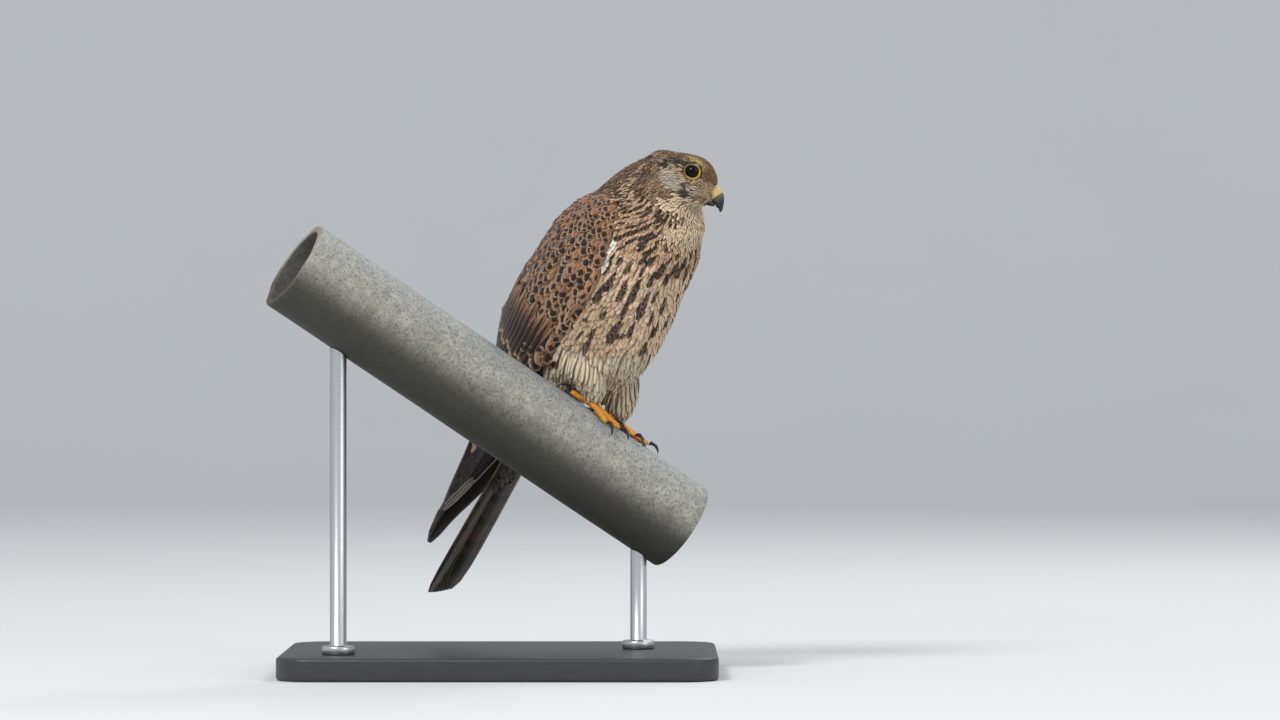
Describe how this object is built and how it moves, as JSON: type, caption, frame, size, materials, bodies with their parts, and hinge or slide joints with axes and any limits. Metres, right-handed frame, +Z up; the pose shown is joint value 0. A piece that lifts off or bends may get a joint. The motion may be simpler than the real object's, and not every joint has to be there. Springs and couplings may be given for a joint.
{
  "type": "common kestrel",
  "caption": "Life-size common kestrel gripping a sloping cut length of steel pipe, wings folded and tail hanging behind it, on a plain display stand.",
  "frame": {"origin": "centre of the underside of the stand's base, on the surface that it stands on", "axes": "+X is to the right of the bird's right-hand view, the side that the bill points to and the pipe falls to; +Y is away from the viewer; +Z is up"},
  "size_m": [0.2751, 0.1851, 0.3181],
  "materials": {
    "plumage_head": "overlapping small feathers, matt, fine dark streaks",
    "plumage_under": "overlapping body feathers, matt, bold dark streaks",
    "plumage_upper": "overlapping covert feathers, matt, dark diamond bars",
    "flight_feathers": "long vanes, slightly satin, barred",
    "bare_skin": "scaly skin, satin",
    "horn": "keratin, polished by wear",
    "eye": "wet, very glossy",
    "perch_steel": "weathered galvanised steel, matt, rust at the edges",
    "stand_paint": "satin paint",
    "stand_steel": "brushed"
  },
  "bodies": {
    "root": {"head": "plumage_head", "neck": "plumage_head", "trunk": "plumage_under", "thigh_right": "plumage_under", "thigh_left": "plumage_under", "wing_right": "plumage_upper", "wing_left": "plumage_upper", "tail": "flight_feathers", "eye_left": "eye", "eye_right": "eye", "bill_upper": "horn", "cere": "bare_skin", "bill_lower": "horn", "foot_right": "bare_skin", "foot_left": "bare_skin", "claw_right_inner": "horn", "claw_right_middle": "horn", "claw_right_outer": "horn", "claw_right_hind": "horn", "claw_left_inner": "horn", "claw_left_middle": "horn", "claw_left_outer": "horn", "claw_left_hind": "horn", "stand_base": "stand_paint", "stand_rod_high": "stand_steel", "stand_rod_low": "stand_steel", "perch_pipe_top": "perch_steel", "perch_pipe_near": "perch_steel", "perch_pipe_bottom": "perch_steel", "perch_pipe_far": "perch_steel"}
  },
  "joints": []
}
